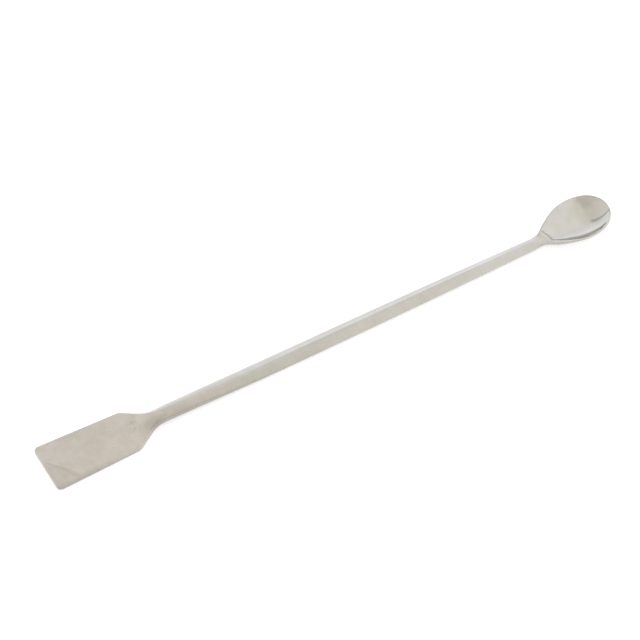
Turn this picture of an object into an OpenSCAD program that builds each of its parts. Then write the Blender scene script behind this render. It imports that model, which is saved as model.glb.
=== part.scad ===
// Double-ended laboratory spatula, one forged and polished piece of stainless steel:
// a flat blade, a stem that runs from round to flattened, and a scoop bowl.
// It lies along X with the blade at -X, its underside on z = 0. Sizes in millimetres.

/* [Overall] */
// Length over both ends
overall_length = 200; // [150:1:300]
// Radius that softens every thin edge
edge_radius = 0.3; // [0.15:0.05:0.4]

/* [Blade] */
// Width of the blade across its square end
blade_end_width = 17.4; // [12:0.1:24]
// Width of the blade where its shoulders start
blade_shoulder_width = 15.3; // [11:0.1:24]
// Length of the blade's straight sides
blade_length = 29.3; // [15:0.1:50]
// Thickness of the blade
blade_thickness = 1.2; // [0.8:0.1:2]
// Corner radius at the blade's end, seen from above
corner_radius = 1.7; // [0.5:0.1:5]
// Angle between each shoulder and the long axis
shoulder_angle = 32; // [20:1:50]
// Size of the fillet where the shoulders run into the stem
shoulder_fillet = 1.5; // [0.5:0.1:4]

/* [Stem] */
// Distance from the blade's end to the round neck of the stem
neck_distance = 42; // [38:0.5:60]
// Width of the stem at the round neck
neck_width = 5.5; // [4:0.1:8]
// Thickness of the stem at the round neck
neck_thickness = 3.5; // [2.5:0.1:6]
// Distance from the blade's end to the widest place of the grip
grip_distance = 80; // [65:1:100]
// Width of the grip
grip_width = 6.1; // [4:0.1:9]
// Thickness of the flattened grip
grip_thickness = 2.3; // [1.8:0.1:5]
// Share of the grip's width that is flat on top, between its two bevels
grip_flat = 0.22; // [0.1:0.01:0.5]
// Share of the half thickness that each bevel of the grip takes off
grip_bevel = 0.5; // [0.2:0.05:0.6]

/* [Spoon neck] */
// Distance from the scoop's tip back to the narrowest place of the stem
tail_distance = 25.5; // [23:0.5:40]
// Width of the stem at its narrowest place
tail_width = 4.25; // [3:0.05:6]
// Thickness of the stem at its narrowest place
tail_thickness = 2.3; // [1.8:0.1:4]
// Height of the stem's underside above the table at its narrowest place
tail_lift = 0.4; // [0:0.1:1]
// Distance from the scoop's tip back to the nose, where the stem's top face ends
nose_distance = 22.4; // [21:0.1:23]
// Height of the step from the nose down into the scoop
nose_step = 0.45; // [0.1:0.05:1]
// Width of the rim on both sides of the nose
nose_rim_width = 1.2; // [0.8:0.05:1.4]
// How far the middle of the nose bulges towards the scoop
nose_bulge = 0.5; // [0:0.1:1]
// How far the nose leans along the stem for each millimetre across it
nose_slant = 0.3; // [0:0.05:0.5]

/* [Scoop] */
// Width of the scoop over its rim
scoop_width = 16; // [10:0.1:24]
// Distance from the scoop's tip back to its widest place
scoop_front = 10.7; // [8:0.1:16]
// Distance from the widest place back to where the egg shape would close
scoop_back = 15.8; // [12:0.1:18]
// Size of the fillet where the stem runs into the scoop
scoop_fillet = 1.2; // [0.5:0.1:4]
// Height of the rim above the table
rim_height = 4.7; // [3.5:0.1:7]
// Length over which the rim climbs from the stem to its full height
rim_rise = 12; // [8:0.5:16]
// Width of the flat rim around the scoop's front half
rim_width = 0.4; // [0.35:0.05:1.2]
// Thickness of the wall at the rim's edge
rim_thickness = 0.9; // [0.6:0.05:1.2]
// Height of the scoop's underside above the table
scoop_lift = 1.1; // [0.2:0.1:1.6]
// Thickness of the wall at the deepest place
scoop_wall = 0.95; // [0.8:0.05:1.6]

/* [Hidden] */

// Powers of the egg outline: the back is drawn out and the front is full
EGG_BACK = 1.92;
EGG_FRONT = 2.4;
// Powers of the scoop's hollow: across it at its nose and where it is full, and along it
NOSE_POWER = 5;
SIDE_POWER = 3.2;
HOLLOW_POWER = 2.2;
// Power of the scoop's outside
OUTSIDE_POWER = 2.4;
// Roundness of a section's flanks: 2 is an ellipse, a larger power a squarer side
ROUND_FLANK = 2;
GRIP_FLANK = 6;
// Share of the round neck that is flat on top
NECK_FLAT = 0.12;
// Rounding of the corner between the blade's side and its shoulder
SHOULDER_ROUND = 0.5;
// Share of the thickness that is left at the very ends of the piece
END_SHARE = 0.45;
// Length along the piece of the nose's step, and of the squarer hollow behind it
STEP_RUN = 0.5;
NOSE_RUN = 7;
// Distances before and after the nose over which the sections bend to follow its edge
BEND_BEFORE = 5;
BEND_AFTER = 9;
// Start of the thickening from blade to neck, and of the change from stem to scoop
THICKEN_START = 2;
SCOOP_START = 3;
// Distances before the shoulder and after the neck with closely spaced sections
SHOULDER_LEAD = 2;
NECK_RUN = 4;

// Smallest share of a section that counts as its flat part
LEAST_FLAT = 0.3;
// Points across half of the flat part of a section, and down one flank
FLAT_POINTS = 6;
FLANK_POINTS = 4;
// Angle at which the last section stands before the scoop's tip
TIP_ANGLE = 84;
// Sections of each zone, from the blade's end to the scoop's tip
CORNER_RINGS = 6;
BLADE_RINGS = 3;
SHOULDER_RINGS = 20;
NECK_RINGS = 8;
GRIP_RINGS = 14;
SPOON_NECK_RINGS = 13;
SCOOP_RINGS = 14;
FRONT_RINGS = 12;
RIM_RINGS = 6;

// Places along the piece, from the blade's end
tail_x = overall_length - tail_distance;
nose_x = overall_length - nose_distance;
widest_x = overall_length - scoop_front;
shoulder_x = blade_length;
thick_x = blade_length + THICKEN_START;
middle_x = (grip_distance + tail_x) / 2;
hollow_end = overall_length - rim_width;
tail_top = tail_lift + tail_thickness;
scoop_floor = scoop_lift + scoop_wall;

function mix(a, b, t) = a + (b - a) * t;
function share(a, b, x) = min(1, max(0, (x - a) / (b - a)));
// Goes smoothly from 0 to 1 while x goes from a to b
function ease(a, b, x) = let(t = share(a, b, x)) t * t * (3 - 2 * t);
// The larger of two heights, with the corner between them filled over k
function filled_max(a, b, k) = max(a, b) + pow(max(k - abs(a - b), 0), 2) / (4 * k);
function filled_min(a, b, k) = -filled_max(-a, -b, k);

// Outline seen from above: half widths at a distance x from the blade's end
function corner_cut(x) =
    x < corner_radius ? corner_radius - sqrt(pow(corner_radius, 2) - pow(corner_radius - x, 2)) : 0;
function blade_half(x) = mix(blade_end_width, blade_shoulder_width, x / blade_length) / 2;
function shoulder_half(x) = blade_shoulder_width / 2 - (x - shoulder_x) * tan(shoulder_angle);
function stem_half(x) =
    let(swell = mix(neck_width, grip_width, ease(neck_distance, grip_distance, x)))
    let(taper = pow(share(grip_distance, tail_x, x), 2))
    (swell - (grip_width - tail_width) * taper) / 2;
function egg_half(x) =
    scoop_width / 2 * (x > widest_x ? sqrt(1 - pow(share(widest_x, overall_length, x), EGG_FRONT))
                       : 1 - pow((widest_x - x) / scoop_back, EGG_BACK));
function half_width(x) =
    x > widest_x ? egg_half(x)
    : x > middle_x ? filled_max(egg_half(x), stem_half(x), scoop_fillet)
    : filled_max(filled_min(blade_half(x), shoulder_half(x), SHOULDER_ROUND) - corner_cut(x),
                 stem_half(x), shoulder_fillet);

// How far the piece has changed from blade to neck, from neck to grip, and from stem to scoop
function neck_share(x) = ease(thick_x, neck_distance, x);
function grip_share(x) = ease(neck_distance, grip_distance, x);
function scoop_share(x) = ease(tail_x - SCOOP_START, nose_x, x);

// Both ends are rounded in side view
function end_round(x) =
    let(d = min(x, overall_length - x) / edge_radius)
    d >= 1 ? 1 : mix(END_SHARE, 1, sqrt(1 - pow(1 - d, 2)));

// Thickness of the blade and stem, and the height of their underside
function thickness(x) =
    let(grip = mix(neck_thickness, grip_thickness, grip_share(x)))
    let(stem = mix(grip, tail_thickness, ease(grip_distance, tail_x, x)))
    mix(blade_thickness, stem, neck_share(x));
function lift(x) = tail_lift * ease(grip_distance, tail_x, x);

// Half height of a section at q, from 0 in the middle to 1 at its side:
// a flat, then a flank that falls straight by the bevel and rounds off at the side
function crown(q, flat, bevel, flank) =
    let(u = share(flat, 1, abs(q)))
    (1 - bevel * u) * sqrt(max(0, 1 - pow(u, flank)));
function flat_share(x) =
    let(blade = 1 - edge_radius / half_width(x))
    mix(mix(blade, NECK_FLAT, neck_share(x)), grip_flat, grip_share(x));
function stem_crown(x, q) =
    crown(q, flat_share(x), grip_bevel * grip_share(x), mix(ROUND_FLANK, GRIP_FLANK, grip_share(x)));
function stem_side(x, q, side) =
    lift(x) + thickness(x) / 2 * (1 + side * end_round(x) * stem_crown(x, q));

// Scoop: the rim climbs from the stem's top face, and the hollow lies inside it
function rim_top(x) = mix(tail_top, rim_height, ease(tail_x, tail_x + rim_rise, x));
function rim_round(x, q) =
    let(w = max(half_width(x), edge_radius))
    crown(q, 1 - edge_radius / w, 0, ROUND_FLANK) * end_round(x);
function rim_side(x, q, side) = rim_top(x) - rim_thickness / 2 * (1 - side * rim_round(x, q));
function hollow_half(x) =
    x > widest_x
    ? (scoop_width / 2 - rim_width) * sqrt(1 - pow(share(widest_x, hollow_end, x), EGG_FRONT))
    : half_width(x) - mix(nose_rim_width, rim_width, ease(nose_x, widest_x, x));
function floor_height(x) =
    x > widest_x
    ? mix(scoop_floor, rim_height, pow(share(widest_x, hollow_end, x), HOLLOW_POWER))
    : mix(scoop_floor, rim_top(nose_x) - nose_step, pow(1 - share(nose_x, widest_x, x), HOLLOW_POWER));
function hollow(x, y) =
    let(w = hollow_half(x), power = mix(NOSE_POWER, SIDE_POWER, ease(nose_x, nose_x + NOSE_RUN, x)))
    x > nose_x && abs(y) < w ? (rim_top(x) - floor_height(x)) * (1 - pow(abs(y) / w, power)) : 0;
function scoop_top(x, q, y) = rim_side(x, q, 1) - hollow(x, y);
function keel(x) =
    x > widest_x
    ? mix(scoop_lift, rim_height - rim_thickness, pow(share(widest_x, overall_length, x), OUTSIDE_POWER))
    : mix(tail_lift, scoop_lift, ease(tail_x, widest_x, x));
function scoop_underside(x, q) = mix(keel(x), rim_side(x, q, -1), pow(abs(q), OUTSIDE_POWER));

// Heights of the skin at a section x, a share q across it and a distance y from the middle
function top_z(x, q, y) = mix(stem_side(x, q, 1), scoop_top(x, q, y), scoop_share(x));
function bottom_z(x, q) = mix(stem_side(x, q, -1), scoop_underside(x, q), scoop_share(x));

// Sections near the nose bend with it, so that its edge is one section
function bend(x, q, y) =
    let(near = ease(nose_x - BEND_BEFORE, nose_x, x) * (1 - ease(nose_x, nose_x + BEND_AFTER, x)))
    near * (1 - pow(q, 4)) * (nose_bulge * (1 - pow(q, 2)) - nose_slant * y);

// One section: points from side to side over the top, and back along the underside
function ring_flat(x) =
    mix(flat_share(x), max(LEAST_FLAT, hollow_half(x) / half_width(x)), scoop_share(x));
function ring_half(x) =
    let(flat = ring_flat(x))
    concat([for (i = [0:FLAT_POINTS]) flat * sin(90 * i / FLAT_POINTS)],
           [for (i = [1:FLANK_POINTS]) mix(flat, 1, sin(90 * i / FLANK_POINTS))]);
function ring_point(x, q, upper) =
    let(y = q * half_width(x))
    [x + bend(x, q, y), y, upper ? top_z(x, q, y) : bottom_z(x, q)];
function ring(x) =
    let(half = ring_half(x), n = len(half) - 1)
    let(across = concat([for (i = [n:-1:0]) half[i]], [for (i = [1:n]) -half[i]]))
    concat([for (q = across) ring_point(x, q, true)],
           [for (i = [2 * n - 1:-1:1]) ring_point(x, across[i], false)]);

// Places of the sections, closer where the form changes faster
function steps(a, b, n) = [for (i = [1:n]) mix(a, b, i / n)];
stations = concat(
    [for (i = [0:CORNER_RINGS]) corner_radius * (1 - cos(90 * i / CORNER_RINGS))],
    steps(corner_radius, shoulder_x - SHOULDER_LEAD, BLADE_RINGS),
    steps(shoulder_x - SHOULDER_LEAD, neck_distance + NECK_RUN, SHOULDER_RINGS),
    steps(neck_distance + NECK_RUN, grip_distance, NECK_RINGS),
    steps(grip_distance, tail_x - SCOOP_START, GRIP_RINGS),
    steps(tail_x - SCOOP_START, nose_x, SPOON_NECK_RINGS),
    [nose_x + STEP_RUN],
    steps(nose_x + STEP_RUN, widest_x, SCOOP_RINGS),
    [for (i = [1:FRONT_RINGS]) mix(widest_x, hollow_end, pow(sin(90 * i / FRONT_RINGS), 2 / EGG_FRONT))],
    [for (i = [1:RIM_RINGS]) mix(hollow_end, overall_length, sin(TIP_ANGLE * i / RIM_RINGS))]
);

module skin() {
    rings = [for (x = stations) ring(x)];
    n = len(rings[0]);
    last = len(rings) - 1;
    tip = [overall_length, 0, rim_height - rim_thickness / 2];
    points = concat([for (r = rings) each r], [tip]);
    sides = [for (i = [0:last - 1], j = [0:n - 1])
        let(a = i * n + j, b = i * n + (j + 1) % n)
        each floor(4 * j / n) % 2 == 0 ? [[a, b + n, b], [a, a + n, b + n]]
                                       : [[a, a + n, b], [a + n, b + n, b]]];
    blade_end = [for (j = [0:n - 1]) j];
    tip_fan = [for (j = [0:n - 1]) [last * n + (j + 1) % n, last * n + j, len(points) - 1]];
    polyhedron(points = points, faces = concat(sides, [blade_end], tip_fan), convexity = 6);
}

module spatula() {
    color("silver")
        translate([-overall_length / 2, 0, 0])
            skin();
}

spatula();
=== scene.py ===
"""Looks of the lab spatula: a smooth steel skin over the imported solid, in a small white studio."""

import math

import bpy
import numpy as np
from mathutils import Matrix, Vector


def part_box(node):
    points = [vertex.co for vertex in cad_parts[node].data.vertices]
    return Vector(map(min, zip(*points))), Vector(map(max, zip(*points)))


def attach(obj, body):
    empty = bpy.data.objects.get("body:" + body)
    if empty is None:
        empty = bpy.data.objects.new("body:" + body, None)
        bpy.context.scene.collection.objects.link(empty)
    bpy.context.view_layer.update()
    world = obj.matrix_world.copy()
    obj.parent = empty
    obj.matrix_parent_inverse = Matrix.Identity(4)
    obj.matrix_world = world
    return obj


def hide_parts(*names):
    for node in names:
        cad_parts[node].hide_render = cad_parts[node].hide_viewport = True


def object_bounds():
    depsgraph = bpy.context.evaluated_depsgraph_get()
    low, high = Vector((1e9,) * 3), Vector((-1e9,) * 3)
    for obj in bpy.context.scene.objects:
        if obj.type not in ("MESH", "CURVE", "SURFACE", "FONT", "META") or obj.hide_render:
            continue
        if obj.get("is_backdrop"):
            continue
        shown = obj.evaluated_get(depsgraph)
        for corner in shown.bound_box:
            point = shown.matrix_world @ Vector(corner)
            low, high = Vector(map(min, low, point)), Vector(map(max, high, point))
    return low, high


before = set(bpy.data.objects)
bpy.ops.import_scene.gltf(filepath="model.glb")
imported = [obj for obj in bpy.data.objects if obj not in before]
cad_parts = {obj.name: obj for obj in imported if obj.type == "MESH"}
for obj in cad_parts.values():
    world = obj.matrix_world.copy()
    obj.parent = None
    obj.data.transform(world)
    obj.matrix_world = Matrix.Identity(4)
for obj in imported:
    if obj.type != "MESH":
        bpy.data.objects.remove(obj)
CAD_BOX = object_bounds()

MM = 0.001

# Driving sizes of the spatula, in metres along X from the blade's end
CAD_LOW, CAD_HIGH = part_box("spatula")
OVERALL_LENGTH = CAD_HIGH[0] - CAD_LOW[0]
EDGE_RADIUS = 0.3 * MM
BLADE_END_WIDTH = 17.4 * MM
BLADE_SHOULDER_WIDTH = 15.3 * MM
BLADE_LENGTH = 29.3 * MM
BLADE_THICKNESS = 1.2 * MM
CORNER_RADIUS = 1.7 * MM
SHOULDER_SLOPE = math.tan(math.radians(32))
SHOULDER_FILLET = 1.5 * MM
SHOULDER_ROUND = 0.5 * MM
NECK_X = 42 * MM
NECK_WIDTH = 5.5 * MM
NECK_THICKNESS = 3.5 * MM
GRIP_X = 80 * MM
GRIP_WIDTH = 6.1 * MM
GRIP_THICKNESS = 2.3 * MM
GRIP_FLAT = 0.22
GRIP_BEVEL = 0.5
TAIL_X = OVERALL_LENGTH - 25.5 * MM
TAIL_WIDTH = 4.25 * MM
TAIL_THICKNESS = 2.3 * MM
TAIL_LIFT = 0.4 * MM
TAIL_TOP = TAIL_LIFT + TAIL_THICKNESS
NOSE_X = OVERALL_LENGTH - 22.4 * MM
NOSE_STEP = 0.45 * MM
NOSE_RIM_WIDTH = 1.2 * MM
NOSE_BULGE = 0.5 * MM
NOSE_SLANT = 0.3
SCOOP_WIDTH = 16 * MM
WIDEST_X = OVERALL_LENGTH - 10.7 * MM
SCOOP_BACK = 15.8 * MM
SCOOP_FILLET = 1.2 * MM
RIM_HEIGHT = CAD_HIGH[2]
RIM_RISE = 12 * MM
RIM_WIDTH = 0.4 * MM
RIM_THICKNESS = 0.9 * MM
SCOOP_LIFT = 1.1 * MM
SCOOP_WALL = 0.95 * MM
SCOOP_FLOOR = SCOOP_LIFT + SCOOP_WALL
HOLLOW_END = OVERALL_LENGTH - RIM_WIDTH

# Powers and shares that shape the sections
EGG_BACK, EGG_FRONT = 1.92, 2.4
NOSE_POWER, SIDE_POWER, HOLLOW_POWER, OUTSIDE_POWER = 5, 3.2, 2.2, 2.4
ROUND_FLANK, GRIP_FLANK = 2, 6
NECK_FLAT = 0.12
END_SHARE = 0.45
STEP_RUN = 0.5 * MM
NOSE_RUN = 7 * MM
BEND_BEFORE, BEND_AFTER = 5 * MM, 9 * MM
THICKEN_START = 2 * MM
SCOOP_START = 3 * MM
LEAST_FLAT = 0.3

# Radius over which the hollow's edge is rounded, and the points that average it
RIM_SOFT = 0.5 * MM
SOFT_RINGS, SOFT_TURNS = (0.35, 0.7, 1), 12

# Depth of the hollow at which its polish is full
POLISH_DEPTH = 0.1 * MM
# The painted highlight on the nose's brow and the painted shade at the foot of its step: where
# each comes and goes along X, from the nose, and over which share of the half width both fade out
BROW_START, BROW_END = (-1.1 * MM, -0.7 * MM), (-0.3 * MM, 0)
FOOT_START, FOOT_END = (-0.3 * MM, -0.1 * MM), (0.4 * MM, 0.7 * MM)
CREASE_FADE = (0.5, 0.8)
# The grip's far bevel gets a painted highlight, with a painted darker line beside it: where they
# come and go along X, and over which shares of the half width
GRIP_START, GRIP_END = (75 * MM, 95 * MM), (150 * MM, 168 * MM)
STRIP_START, STRIP_END = (0.24, 0.34), (0.5, 0.7)
TROUGH_START, TROUGH_END = (-0.15, 0.05), (0.18, 0.26)
# Attributes of the skin's points that the steel reads. All but the polish mark places where the
# steel is toned to stand in for what the photo shows reflected there
MARKS = ("polish", "foot", "brow", "strip", "trough")

# Points across half of a section's flat part and down one flank
FLAT_POINTS, FLANK_POINTS = 24, 12
# Rings at the blade's rounded end, along the scoop's front and at its tip, with the tip's turn
END_RINGS, FRONT_RINGS, TIP_RINGS = 13, 50, 16
TIP_TURN = math.radians(87)
# Where the rings get closer before the shoulders, and wider again past the neck
SHOULDER_MARGIN, NECK_MARGIN = 2 * MM, 4 * MM
# Half width that the hollow's formula never goes under
LEAST_HALF = EDGE_RADIUS / 100


def mix(a, b, t):
    return a + (b - a) * t


def share(a, b, x):
    return np.clip((x - a) / (b - a), 0, 1)


def ease(a, b, x):
    t = share(a, b, x)
    return t * t * (3 - 2 * t)


def filled_max(a, b, k):
    """The larger of two values, with the corner between them filled over k."""
    return np.maximum(a, b) + np.maximum(k - np.abs(a - b), 0) ** 2 / (4 * k)


def half_width(x):
    """The outline seen from above."""
    blade = mix(BLADE_END_WIDTH, BLADE_SHOULDER_WIDTH, x / BLADE_LENGTH) / 2
    shoulder = BLADE_SHOULDER_WIDTH / 2 - (x - BLADE_LENGTH) * SHOULDER_SLOPE
    left = np.clip(CORNER_RADIUS - x, 0, None)
    corner = CORNER_RADIUS - np.sqrt(CORNER_RADIUS**2 - left**2)
    flat_end = -filled_max(-blade, -shoulder, SHOULDER_ROUND) - corner
    swell = mix(NECK_WIDTH, GRIP_WIDTH, ease(NECK_X, GRIP_X, x))
    stem = (swell - (GRIP_WIDTH - TAIL_WIDTH) * share(GRIP_X, TAIL_X, x) ** 2) / 2
    front = SCOOP_WIDTH / 2 * np.sqrt(1 - share(WIDEST_X, OVERALL_LENGTH, x) ** EGG_FRONT)
    back = SCOOP_WIDTH / 2 * (1 - (np.maximum(WIDEST_X - x, 0) / SCOOP_BACK) ** EGG_BACK)
    scoop = np.where(x > WIDEST_X, front, filled_max(back, stem, SCOOP_FILLET))
    return np.where(x > (GRIP_X + TAIL_X) / 2, scoop, filled_max(flat_end, stem, SHOULDER_FILLET))


def neck_share(x):
    return ease(BLADE_LENGTH + THICKEN_START, NECK_X, x)


def grip_share(x):
    return ease(NECK_X, GRIP_X, x)


def scoop_share(x):
    return ease(TAIL_X - SCOOP_START, NOSE_X, x)


def end_round(x):
    d = share(0, EDGE_RADIUS, np.minimum(x, OVERALL_LENGTH - x))
    return mix(END_SHARE, 1, np.sqrt(1 - (1 - d) ** 2))


def crown(q, flat, bevel, flank):
    """Half height of a section at q: a flat, then a bevel that rounds off at the side."""
    u = share(flat, 1, np.abs(q))
    return (1 - bevel * u) * np.sqrt(np.maximum(0, 1 - u**flank))


def flat_share(x):
    blade = 1 - EDGE_RADIUS / half_width(x)
    return mix(mix(blade, NECK_FLAT, neck_share(x)), GRIP_FLAT, grip_share(x))


def stem_side(x, q, side):
    grip = mix(NECK_THICKNESS, GRIP_THICKNESS, grip_share(x))
    stem = mix(grip, TAIL_THICKNESS, ease(GRIP_X, TAIL_X, x))
    thickness = mix(BLADE_THICKNESS, stem, neck_share(x))
    flank = mix(ROUND_FLANK, GRIP_FLANK, grip_share(x))
    high = crown(q, flat_share(x), GRIP_BEVEL * grip_share(x), flank)
    return TAIL_LIFT * ease(GRIP_X, TAIL_X, x) + thickness / 2 * (1 + side * end_round(x) * high)


def rim_top(x):
    return mix(TAIL_TOP, RIM_HEIGHT, ease(TAIL_X, TAIL_X + RIM_RISE, x))


def rim_side(x, q, side):
    flat = 1 - EDGE_RADIUS / np.maximum(half_width(x), EDGE_RADIUS)
    high = crown(q, flat, 0, ROUND_FLANK) * end_round(x)
    return rim_top(x) - RIM_THICKNESS / 2 * (1 - side * high)


def hollow_half(x):
    inner = (SCOOP_WIDTH / 2 - RIM_WIDTH) * np.sqrt(1 - share(WIDEST_X, HOLLOW_END, x) ** EGG_FRONT)
    back = half_width(x) - mix(NOSE_RIM_WIDTH, RIM_WIDTH, ease(NOSE_X, WIDEST_X, x))
    return np.where(x > WIDEST_X, inner, back)


def floor_height(x):
    front = mix(SCOOP_FLOOR, RIM_HEIGHT, share(WIDEST_X, HOLLOW_END, x) ** HOLLOW_POWER)
    nose = rim_top(NOSE_X) - NOSE_STEP
    back = mix(SCOOP_FLOOR, nose, (1 - share(NOSE_X, WIDEST_X, x)) ** HOLLOW_POWER)
    return np.where(x > WIDEST_X, front, back)


def hollow(x, y):
    """Depth of the scoop's hollow under its rim."""
    power = mix(NOSE_POWER, SIDE_POWER, ease(NOSE_X, NOSE_X + NOSE_RUN, x))
    out = np.clip(np.abs(y) / np.maximum(hollow_half(x), LEAST_HALF), 0, 1)
    return ease(NOSE_X, NOSE_X + STEP_RUN, x) * (rim_top(x) - floor_height(x)) * (1 - out**power)


def soft_hollow(x, y):
    """The hollow with its rim worn round and sloping inwards, but sharp at the nose."""
    reach = RIM_SOFT * ease(NOSE_X + STEP_RUN, NOSE_X + NOSE_RUN, x)
    total = hollow(x, y)
    for ring in SOFT_RINGS:
        for turn in np.linspace(0, 2 * math.pi, SOFT_TURNS, endpoint=False):
            aside, along = ring * RIM_SOFT * math.sin(turn), ring * reach * math.cos(turn)
            total = total + hollow(x + along, y + aside)
    return total / (1 + len(SOFT_RINGS) * SOFT_TURNS)


def scoop_underside(x, q):
    edge = RIM_HEIGHT - RIM_THICKNESS
    tip = mix(SCOOP_LIFT, edge, share(WIDEST_X, OVERALL_LENGTH, x) ** OUTSIDE_POWER)
    neck = mix(TAIL_LIFT, SCOOP_LIFT, ease(TAIL_X, WIDEST_X, x))
    return mix(np.where(x > WIDEST_X, tip, neck), rim_side(x, q, -1), np.abs(q) ** OUTSIDE_POWER)


def bend(x, q, y):
    """How far a section bends along X, to follow the nose."""
    near = ease(NOSE_X - BEND_BEFORE, NOSE_X, x) * (1 - ease(NOSE_X, NOSE_X + BEND_AFTER, x))
    return near * (1 - q**4) * (NOSE_BULGE * (1 - q**2) - NOSE_SLANT * y)


def section(x):
    """One ring's points, over the top from +Y to -Y and back underneath, and their marks."""
    flat = mix(flat_share(x), max(LEAST_FLAT, hollow_half(x) / half_width(x)), scoop_share(x))
    inside = flat * np.sin(np.linspace(0, math.pi / 2, FLAT_POINTS + 1))
    flank = mix(flat, 1, np.sin(np.linspace(0, math.pi / 2, FLANK_POINTS + 1)[1:]))
    half = np.concatenate([inside, flank])
    q = np.concatenate([half[::-1], -half[1:]])
    y = q * half_width(x)
    deep = soft_hollow(x, y)
    top = mix(stem_side(x, q, 1), rim_side(x, q, 1) - deep, scoop_share(x))
    low = mix(stem_side(x, q, -1), scoop_underside(x, q), scoop_share(x))
    along = x + bend(x, q, y) - OVERALL_LENGTH / 2
    over = np.stack([along, y, top], axis=-1)
    under = np.stack([along, y, low], axis=-1)[-2:0:-1]
    # Marks of painted light: shade at the foot of the nose's step, a highlight on its brow, a highlight
    # on the grip's far bevel and a darker line beside it
    middle = 1 - share(*CREASE_FADE, np.abs(q))
    foot = middle * ease(*FOOT_START, x - NOSE_X) * (1 - ease(*FOOT_END, x - NOSE_X))
    brow = middle * ease(*BROW_START, x - NOSE_X) * (1 - ease(*BROW_END, x - NOSE_X))
    grip = ease(*GRIP_START, x) * (1 - ease(*GRIP_END, x))
    strip = grip * ease(*STRIP_START, q) * (1 - ease(*STRIP_END, q))
    trough = grip * ease(*TROUGH_START, q) * (1 - ease(*TROUGH_END, q))
    shine = share(0, POLISH_DEPTH, deep * scoop_share(x))
    marks = np.stack([shine, foot, brow, strip, trough], axis=-1)
    plain = np.zeros((len(under), len(MARKS)))
    return np.concatenate([over, under]), np.concatenate([marks, plain])


def stations():
    """Places of the rings, closer where the form changes faster."""
    end = CORNER_RADIUS * (1 - np.cos(np.linspace(0, math.pi / 2, END_RINGS)))
    even = [
        (CORNER_RADIUS, BLADE_LENGTH - SHOULDER_MARGIN, 20),
        (BLADE_LENGTH - SHOULDER_MARGIN, NECK_X + NECK_MARGIN, 75),
        (NECK_X + NECK_MARGIN, TAIL_X - SCOOP_START, 90),
        (TAIL_X - SCOOP_START, NOSE_X, 40),
        (NOSE_X, NOSE_X + STEP_RUN, 6),
        (NOSE_X + STEP_RUN, WIDEST_X, 60),
    ]
    front = np.sin(np.linspace(0, math.pi / 2, FRONT_RINGS)[1:]) ** (2 / EGG_FRONT)
    tip = np.sin(np.linspace(0, TIP_TURN, TIP_RINGS)[1:])
    zones = [end] + [np.linspace(*zone)[1:] for zone in even]
    zones += [mix(WIDEST_X, HOLLOW_END, front), mix(HOLLOW_END, OVERALL_LENGTH, tip)]
    return np.concatenate(zones)


def build_skin():
    """The smooth skin, with the marks as attributes of its points."""
    rings, marks = zip(*(section(x) for x in stations()))
    count = len(rings[0])
    tip = (OVERALL_LENGTH / 2, 0, RIM_HEIGHT - RIM_THICKNESS / 2)
    points = np.vstack([*rings, tip])
    faces = [tuple(reversed(range(count)))]
    for i in range(len(rings) - 1):
        for j in range(count):
            a, b = i * count + j, i * count + (j + 1) % count
            faces.append((a, b, b + count, a + count))
    last = (len(rings) - 1) * count
    faces += [(last + j, last + (j + 1) % count, len(points) - 1) for j in range(count)]
    mesh = bpy.data.meshes.new("skin")
    mesh.from_pydata(points.tolist(), [], faces)
    mesh.polygons.foreach_set("use_smooth", [True] * len(faces))
    mesh.polygons[0].use_smooth = False
    for name, values in zip(MARKS, np.concatenate(marks).T):
        mesh.attributes.new(name, "FLOAT", "POINT").data.foreach_set("value", np.append(values, 0))
    skin = bpy.data.objects.new("spatula_skin", mesh)
    bpy.context.collection.objects.link(skin)
    return skin


# Sockets that Blender knows by number only: of the Mix node, and of Texture Coordinate
COLOUR_A, COLOUR_B, COLOUR_OUT = 6, 7, 2
OBJECT_NORMAL, OBJECT_PLACE = 1, 3


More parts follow.
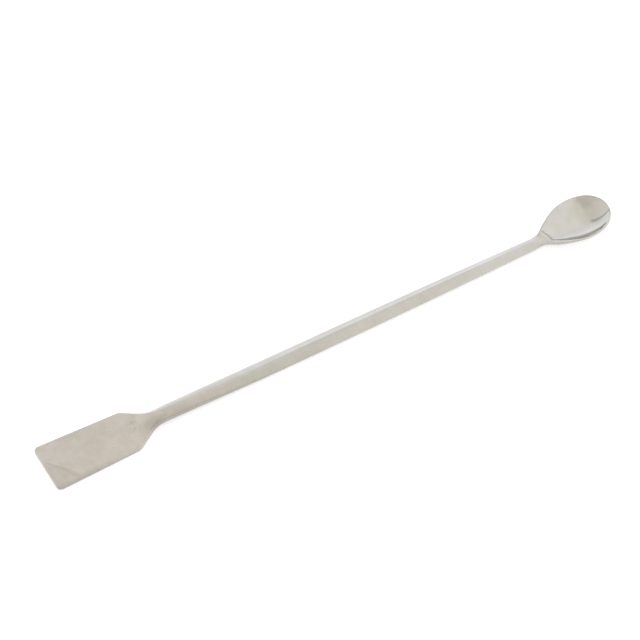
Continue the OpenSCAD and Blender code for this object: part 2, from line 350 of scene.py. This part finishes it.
class Nodes:
    """Adds nodes to one material or world, with inputs given by name."""

    def __init__(self, owner):
        owner.use_nodes = True
        self.tree = owner.node_tree
        self.tree.nodes.clear()

    def set(self, socket, value):
        if isinstance(value, bpy.types.NodeSocket):
            self.tree.links.new(value, socket)
        else:
            socket.default_value = value

    def add(self, kind, out=0, **inputs):
        node = self.tree.nodes.new("ShaderNode" + kind)
        for name, value in inputs.items():
            self.set(node.inputs[name.replace("_", " ")], value)
        return node.outputs[out]

    def math(self, operation, a, b=0.0, clamp=False):
        node = self.tree.nodes.new("ShaderNodeMath")
        node.operation, node.use_clamp = operation, clamp
        self.set(node.inputs[0], a)
        self.set(node.inputs[1], b)
        return node.outputs[0]

    def range(self, value, low, high, to_low, to_high):
        """Goes smoothly from to_low to to_high while value goes from low to high."""
        node = self.tree.nodes.new("ShaderNodeMapRange")
        node.interpolation_type = "SMOOTHSTEP"
        for socket, number in zip(node.inputs, (value, low, high, to_low, to_high)):
            self.set(socket, number)
        return node.outputs[0]

    def product(self, a, b):
        return self.math("MULTIPLY", a, b)

    def mix(self, share, a, b):
        return self.math("ADD", a, self.product(share, self.math("SUBTRACT", b, a)))

    def attribute(self, name):
        node = self.tree.nodes.new("ShaderNodeAttribute")
        node.attribute_name = name
        return node.outputs["Fac"]

    def vector(self, operation, a):
        node = self.tree.nodes.new("ShaderNodeVectorMath")
        node.operation = operation
        self.set(node.inputs[0], a)
        return node.outputs[0]

    def axis(self, vector, name):
        node = self.tree.nodes.new("ShaderNodeSeparateXYZ")
        self.set(node.inputs[0], vector)
        return node.outputs[name]

    def blend(self, share, a, b, kind="MIX"):
        """Colour a at share 0; at share 1 it is b, or a times b where the kind is MULTIPLY."""
        node = self.tree.nodes.new("ShaderNodeMix")
        node.data_type = "RGBA"
        node.blend_type = kind
        self.set(node.inputs["Factor"], share)
        self.set(node.inputs[COLOUR_A], a)
        self.set(node.inputs[COLOUR_B], b)
        return node.outputs[COLOUR_OUT]

    def tint(self, colour, share, tone):
        """The colour, multiplied by a tone where share is 1."""
        return self.blend(1.0, colour, self.blend(share, CLEAN, tone), "MULTIPLY")

    def near(self, along, aside, x, y, inner, outer):
        """1 around a place in plan, fading out between two radii."""
        dx, dy = self.math("SUBTRACT", along, x), self.math("SUBTRACT", aside, y)
        square = self.math("ADD", self.product(dx, dx), self.product(dy, dy))
        return self.range(self.math("SQRT", square), inner, outer, 1, 0)

    def noise(self, place, scale, detail, stretch=(1, 1, 1), seed=0.0):
        """Noise with features of about 1 / scale metres, longer along an axis of small stretch."""
        moved = self.add("Mapping", Vector=place, Scale=stretch, Location=(seed, seed, seed))
        return self.add("TexNoise", Vector=moved, Scale=scale, Detail=detail, Roughness=NOISE_ROUGHNESS)

    def finish(self, shader, kind="OutputMaterial"):
        output = self.tree.nodes.new("ShaderNode" + kind)
        self.set(output.inputs["Surface"], shader)


# Colours, in linear light. From the blade's tone on they multiply the steel's own colour
STEEL_DARK = (0.605, 0.597, 0.572, 1)
STEEL_LIGHT = (0.66, 0.654, 0.634, 1)
CLEAN = (1, 1, 1, 1)
# Painted reflection: the blade toned brighter and warmer, for the warm overhead light its flat reflects
PAINTED_BLADE_SHEEN = (1.09, 1.045, 1.035, 1)
STAINED = (1.03, 0.995, 0.985, 1)
SHADED = (0.92, 0.915, 0.91, 1)
SMUDGE = (0.87, 0.865, 0.86, 1)
SCUFFED = (0.85, 0.85, 0.84, 1)
WORN = (1.03, 1.05, 1.08, 1)
# Painted shade on the near side of the neck's root
PAINTED_NECK_SHADE = (0.85, 0.845, 0.84, 1)
# Painted shade on the sides
PAINTED_SIDE_SHADE = (0.7, 0.69, 0.68, 1)
# Painted shade at the foot of the nose's step
PAINTED_CREASE_SHADE = (0.73, 0.73, 0.73, 1)
# Painted highlight on the nose's brow
PAINTED_BROW_HIGHLIGHT = (1.14, 1.14, 1.17, 1)
# Painted highlight along the grip's far bevel
PAINTED_STRIP_HIGHLIGHT = (1.085, 1.085, 1.085, 1)
# Painted shade in a line beside the grip's highlight
PAINTED_TROUGH_SHADE = (0.965, 0.965, 0.965, 1)
# Painted reflection: the stem's back half brighter and cooler
PAINTED_STEM_SHEEN = (1.045, 1.045, 1.07, 1)

# Each set of four below says how a value follows a place or another value: it goes smoothly from
# the third number to the fourth while what it follows goes from the first to the second.
# Places are in metres from the part's middle, along X or aside along Y.
BLADE_ALONG = (-70 * MM, -64 * MM, 1, 0)
STEM_ALONG = (-70 * MM, -64 * MM, 0, 1)
NECK_ALONG = (-55 * MM, -25 * MM, 1, 0)
SHADE_ALONG = (-30 * MM, 0, 1, 0)
SHADE_ASIDE = (0.8 * MM, -1.2 * MM, 0, 1)
# Where the stem's painted brighter reflection comes and goes along X
SHEEN_START = (15 * MM, 65 * MM, 0, 1)
SHEEN_END = (76 * MM, 79 * MM, 1, 0)
# The sides are painted darker where they face sideways, a painted shade, most of all at the blade
SIDE_FACING = (0.35, 0.8, 1, 0)
SIDE_ALONG = (-50 * MM, 10 * MM, 1, 0.55)
SIDE_TIP = (70 * MM, 80 * MM, 1, 0.3)

# The stain's line in plan: where it crosses the middle, its slope and how far it wanders
STAIN_AT = -97.3 * MM
STAIN_SLOPE = 0.72
STAIN_WANDER = 3 * MM
STAIN_BREADTH = (2 * MM, -7 * MM, 0.8 * MM, 2 * MM)
STAIN_EDGE = (0.1, 1, 1, 0)
STAIN_ASIDE = (1 * MM, 3 * MM, 1, 0)
STAIN_BREAKS = (0.3, 0.6, 0.65, 1)
# The dull end corner behind the line, and a darker band along the near edge
CORNER_DEPTH = (-1 * MM, 0.5 * MM, 0.45, 0)
CORNER_ASIDE = (-1 * MM, 3 * MM, 1, 0)
EDGE_ASIDE = (-6 * MM, -8.2 * MM, 0, 1)
EDGE_ALONG = (-88 * MM, -76 * MM, 1, 0.2)
# Middle in plan, full inside the first radius and gone at the second
SCUFF_PLACE = (-68.6 * MM, 1 * MM, 1.2 * MM, 3 * MM)
SCUFF_GRAIN = (0.54, 0.62, 0, 1)
WORN_PLACE = (-66.1 * MM, 2.6 * MM, 0.5 * MM, 1.8 * MM)
# Painted shade on the near side of the neck's root
NECK_SHADE_PLACE = (-63.4 * MM, -1.8 * MM, 0.8 * MM, 4.2 * MM)

# Noises over the steel: features of about 1 / scale metres
CLOUDS = {"scale": 150, "detail": 2}
MOTTLE = {"scale": 420, "detail": 3, "seed": 5.3}
SPOTS = {"scale": 1400, "detail": 2, "seed": 3.1}
GRAIN = {"scale": 60, "detail": 2, "stretch": (0.7, 30, 30), "seed": 1.7}
FINE = {"scale": 1300, "detail": 2, "stretch": (1, 0.6, 1), "seed": 8.2}
NOISE_ROUGHNESS = 0.55
NOISE_MIDDLE = 0.5
CLOUD_SHARE, MOTTLE_SHARE = 0.55, 0.45
TONE_SPREAD = (0.32, 0.68, 0, 1)
GRAIN_SHARE, SPOT_SHARE = 0.5, 0.5

SATIN_ROUGHNESS = 0.27
POLISHED_ROUGHNESS = 0.09
ROUGHNESS_SPREAD = 0.12
RELIEF_DEPTH = 0.02 * MM
SATIN_RELIEF, POLISHED_RELIEF = 0.1, 0.02


def stain_mask(n, along, aside, clouds, mottle):
    """A soft stain across the blade's end, broader and darker towards its near corner."""
    wander = n.product(n.math("SUBTRACT", clouds, NOISE_MIDDLE), STAIN_WANDER)
    line = n.math("ADD", n.math("ADD", along, n.product(aside, STAIN_SLOPE)), wander)
    line = n.math("SUBTRACT", line, STAIN_AT)
    breadth = n.range(aside, *STAIN_BREADTH)
    stain = n.range(n.math("DIVIDE", n.math("ABSOLUTE", line), breadth), *STAIN_EDGE)
    stain = n.product(stain, n.range(aside, *STAIN_ASIDE))
    stain = n.product(stain, n.range(mottle, *STAIN_BREAKS))
    corner = n.product(n.range(line, *CORNER_DEPTH), n.range(aside, *CORNER_ASIDE))
    edge = n.product(n.range(aside, *EDGE_ASIDE), n.range(along, *EDGE_ALONG))
    return n.math("MAXIMUM", stain, n.math("MAXIMUM", corner, edge))


def steel_colour(n, place, clouds, mottle, foot, brow, strip, trough):
    """The bare steel, with the tones, stain and scuffs that it carries, and the painted shade,
    highlights and reflections laid over it.
    """
    along, aside = n.axis(place, "X"), n.axis(place, "Y")
    stem = n.range(along, *STEM_ALONG)
    tone = n.math("ADD", n.product(clouds, CLOUD_SHARE), n.product(mottle, MOTTLE_SHARE))
    colour = n.blend(n.range(tone, *TONE_SPREAD), STEEL_DARK, STEEL_LIGHT)
    under = n.product(stem, n.range(along, *SHADE_ALONG))
    fine = n.noise(place, **FINE)
    facing = n.axis(n.add("TexCoord", out=OBJECT_NORMAL), "Z")
    side = n.product(n.range(facing, *SIDE_FACING), n.range(along, *SIDE_ALONG))
    tones = [
        # Painted reflection: the blade brighter and warmer
        (n.range(along, *BLADE_ALONG), PAINTED_BLADE_SHEEN),
        (n.product(stem, n.range(along, *NECK_ALONG)), STAINED),
        (n.product(under, n.range(aside, *SHADE_ASIDE)), SHADED),
        # Painted reflection: the stem's back half brighter and cooler
        (n.product(n.range(along, *SHEEN_START), n.range(along, *SHEEN_END)), PAINTED_STEM_SHEEN),
        (stain_mask(n, along, aside, clouds, mottle), SMUDGE),
        (n.product(n.near(along, aside, *SCUFF_PLACE), n.range(fine, *SCUFF_GRAIN)), SCUFFED),
        (n.near(along, aside, *WORN_PLACE), WORN),
        # Painted shade on the near side of the neck's root
        (n.near(along, aside, *NECK_SHADE_PLACE), PAINTED_NECK_SHADE),
        # Painted shade at the foot of the nose's step, and a painted highlight on its brow
        (foot, PAINTED_CREASE_SHADE),
        (brow, PAINTED_BROW_HIGHLIGHT),
        # Painted highlight along the grip's far bevel, and a painted darker line beside it
        (strip, PAINTED_STRIP_HIGHLIGHT),
        (trough, PAINTED_TROUGH_SHADE),
        # Painted shade on the sides, where they face sideways
        (n.product(side, n.range(along, *SIDE_TIP)), PAINTED_SIDE_SHADE),
    ]
    for mask, shade in tones:
        colour = n.tint(colour, mask, shade)
    return colour


def steel_material():
    """Satin stainless steel that is polished where the polish attribute is 1."""
    steel = bpy.data.materials.new("stainless_steel")
    n = Nodes(steel)
    place = n.add("TexCoord", out=OBJECT_PLACE)
    polish, *marks = (n.attribute(name) for name in MARKS)
    clouds, mottle = n.noise(place, **CLOUDS), n.noise(place, **MOTTLE)
    colour = steel_colour(n, place, clouds, mottle, *marks)

    uneven = n.product(n.math("SUBTRACT", mottle, NOISE_MIDDLE), ROUGHNESS_SPREAD)
    satin = n.math("ADD", uneven, SATIN_ROUGHNESS)
    shine = n.product(n.math("SUBTRACT", satin, POLISHED_ROUGHNESS), polish)
    rough = n.math("SUBTRACT", satin, shine)

    grain = n.product(n.noise(place, **GRAIN), GRAIN_SHARE)
    spots = n.product(n.noise(place, **SPOTS), SPOT_SHARE)
    strength = n.range(polish, 0, 1, SATIN_RELIEF, POLISHED_RELIEF)
    relief = n.math("ADD", grain, spots)
    bump = n.add("Bump", Height=relief, Strength=strength, Distance=RELIEF_DEPTH)

    n.finish(n.add("BsdfPrincipled", Metallic=1.0, Base_Color=colour, Roughness=rough, Normal=bump))
    return steel


TENT_RADIUS = 0.6
TENT_WARM = (1.045, 1.0, 0.89, 1)
TENT_WHITE = (1.0, 1.0, 1.0, 1)
TENT_SEGMENTS, TENT_RINGS = 64, 32
# Keeps the root above zero straight overhead
ABOVE_ONE = 1.0001

# How bright the tent is, by direction. Across and along are degrees from straight overhead,
# towards +X and +Y, and the sets of four are read as those of the steel
DIM_ALONG = (-10, 24, 0.70, 0.81)
DIM_LEAN = (-60, -15, 8, 0)
DIM_EDGE = (2, 13, 0, 1)
ROOF_LEVEL = 0.875
ROOF_RIGHT = (14, 34, 0, 0.12)
ROOF_LEFT = (-4, -26, 0, 0.07)
SHEET_ALONG = (36, 62, 0.88, 1.02)
SHEET_FOOT = (62, 84, 0, 0.05)
SHEET_RIGHT = (9, 18, 1, 1.06)
SHEET_START = (26, 38, 0, 1)
GAP_AT, GAP_SLOPE = 38, 0.4
GAP_EDGE = (1.5, 6, 1, 0)
GAP_RIGHT = (8, 14, 1, 0)
GAP_LEFT = (-40, -20, 0, 1)
GAP_LEVEL = 0.62
WARM_ALONG = (22, 46, 1, 0)
WARM_ACROSS = (12, 40, 1, 0.4)


def tent_directions(n):
    """Degrees from straight overhead, across towards +X and along towards +Y."""
    unit = n.vector("NORMALIZE", n.add("TexCoord", out=OBJECT_PLACE))
    height = n.axis(unit, "Z")
    fall = n.product(n.math("ARCCOSINE", height), math.degrees(1))
    flat = n.math("SQRT", n.math("SUBTRACT", ABOVE_ONE, n.product(height, height)))
    spread = n.math("DIVIDE", fall, flat)
    return n.product(n.axis(unit, "X"), spread), n.product(n.axis(unit, "Y"), spread)


def tent_level(n, across, along):
    # Overhead: dimmer over the blade and the camera, brighter beyond the scoop
    edge = n.math("SUBTRACT", across, n.range(along, *DIM_LEAN))
    roof = n.mix(n.range(edge, *DIM_EDGE), n.range(along, *DIM_ALONG), ROOF_LEVEL)
    roof = n.math("ADD", roof, n.range(across, *ROOF_RIGHT))
    roof = n.math("ADD", roof, n.range(across, *ROOF_LEFT))
    # Behind: a white sheet that gets brighter towards the table
    sheet = n.math("ADD", n.range(along, *SHEET_ALONG), n.range(along, *SHEET_FOOT))
    sheet = n.product(sheet, n.range(across, *SHEET_RIGHT))
    # The dark gap between the two
    middle = n.math("ADD", along, n.product(across, GAP_SLOPE))
    gap = n.range(n.math("ABSOLUTE", n.math("SUBTRACT", middle, GAP_AT)), *GAP_EDGE)
    gap = n.product(gap, n.product(n.range(across, *GAP_RIGHT), n.range(across, *GAP_LEFT)))
    level = n.mix(n.range(along, *SHEET_START), roof, sheet)
    return n.product(level, n.range(gap, 0, 1, 1, GAP_LEVEL))


def build_tent():
    """A sphere of glowing white cloth, which lights the object and shows in its steel."""
    bpy.ops.mesh.primitive_uv_sphere_add(
        segments=TENT_SEGMENTS, ring_count=TENT_RINGS, radius=TENT_RADIUS
    )
    tent = bpy.context.object
    tent.name = "studio_tent"
    cloth = bpy.data.materials.new("tent_cloth")
    n = Nodes(cloth)
    across, along = tent_directions(n)
    warm = n.product(n.range(along, *WARM_ALONG), n.range(across, *WARM_ACROSS))
    colour = n.blend(warm, TENT_WHITE, TENT_WARM)
    n.finish(n.add("Emission", Color=colour, Strength=tent_level(n, across, along)))
    tent.data.materials.append(cloth)
    tent.visible_camera = False
    tent.visible_shadow = False
    tent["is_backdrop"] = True


FLOOR_SIZE = 8
FLOOR_GAP = 0.03 * MM
FLOOR_LIFT = 0.45
PAPER = (0.88, 0.9, 0.96, 1)
WHITE = (1, 1, 1, 1)


def build_floor():
    """White paper: it keeps the object's shadow, and is lifted to plain white where it is seen."""
    bpy.ops.mesh.primitive_plane_add(size=FLOOR_SIZE, location=(0, 0, -FLOOR_GAP))
    floor = bpy.context.object
    floor.name = "studio_floor"
    paper = bpy.data.materials.new("white_paper")
    n = Nodes(paper)
    lit = n.add("BsdfDiffuse", Color=PAPER)
    path = n.tree.nodes.new("ShaderNodeLightPath").outputs
    seen = n.math("ADD", path["Is Camera Ray"], path["Is Glossy Ray"])
    seen = n.math("ADD", seen, path["Is Transmission Ray"], clamp=True)
    lift = n.add("Emission", Color=WHITE, Strength=n.product(seen, FLOOR_LIFT))
    both = n.tree.nodes.new("ShaderNodeAddShader")
    n.set(both.inputs[0], lit)
    n.set(both.inputs[1], lift)
    n.finish(both.outputs[0])
    floor.data.materials.append(paper)
    floor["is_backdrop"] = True


def build_world():
    """White all round, where the floor ends."""
    world = bpy.data.worlds.new("studio")
    n = Nodes(world)
    n.finish(n.add("Background", Color=WHITE, Strength=1.0), "OutputWorld")
    bpy.context.scene.world = world


VIEW_AZIMUTH, VIEW_ELEVATION = -28.807, 56.5
VIEW_DISTANCE = 2.434
VIEW_LENS, VIEW_SENSOR, VIEW_END = 439.1, 36, 20
# Middle of the picture, beside the spatula's own middle: to the right and up, as seen
VIEW_ASIDE, VIEW_ABOVE = -3.04 * MM, 5.6 * MM
VIEW_HEIGHT = 1.5 * MM


def build_camera():
    """Looks down on the spatula from the blade's near side."""
    a, e = math.radians(VIEW_AZIMUTH), math.radians(VIEW_ELEVATION)
    back = Vector((math.sin(a) * math.cos(e), -math.cos(a) * math.cos(e), math.sin(e)))
    right = Vector((math.cos(a), math.sin(a), 0))
    up = back.cross(right)
    aim = Vector((0, 0, VIEW_HEIGHT)) + right * VIEW_ASIDE + up * VIEW_ABOVE
    camera = bpy.data.objects.new("camera", bpy.data.cameras.new("camera"))
    camera.data.lens = VIEW_LENS
    camera.data.sensor_width = VIEW_SENSOR
    camera.data.clip_end = VIEW_END
    place = Matrix((right, up, back)).transposed().to_4x4()
    place.translation = aim + back * VIEW_DISTANCE
    camera.matrix_world = place
    bpy.context.collection.objects.link(camera)
    bpy.context.scene.camera = camera


skin = build_skin()
skin.data.materials.append(steel_material())
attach(skin, "root")
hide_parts("spatula")

build_tent()
build_floor()
build_world()
build_camera()
bpy.context.scene.view_settings.view_transform = "Standard"

sizes = {"cad": CAD_BOX, "visual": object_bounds()}
sizes = {name: [list(corner) for corner in box] for name, box in sizes.items()}
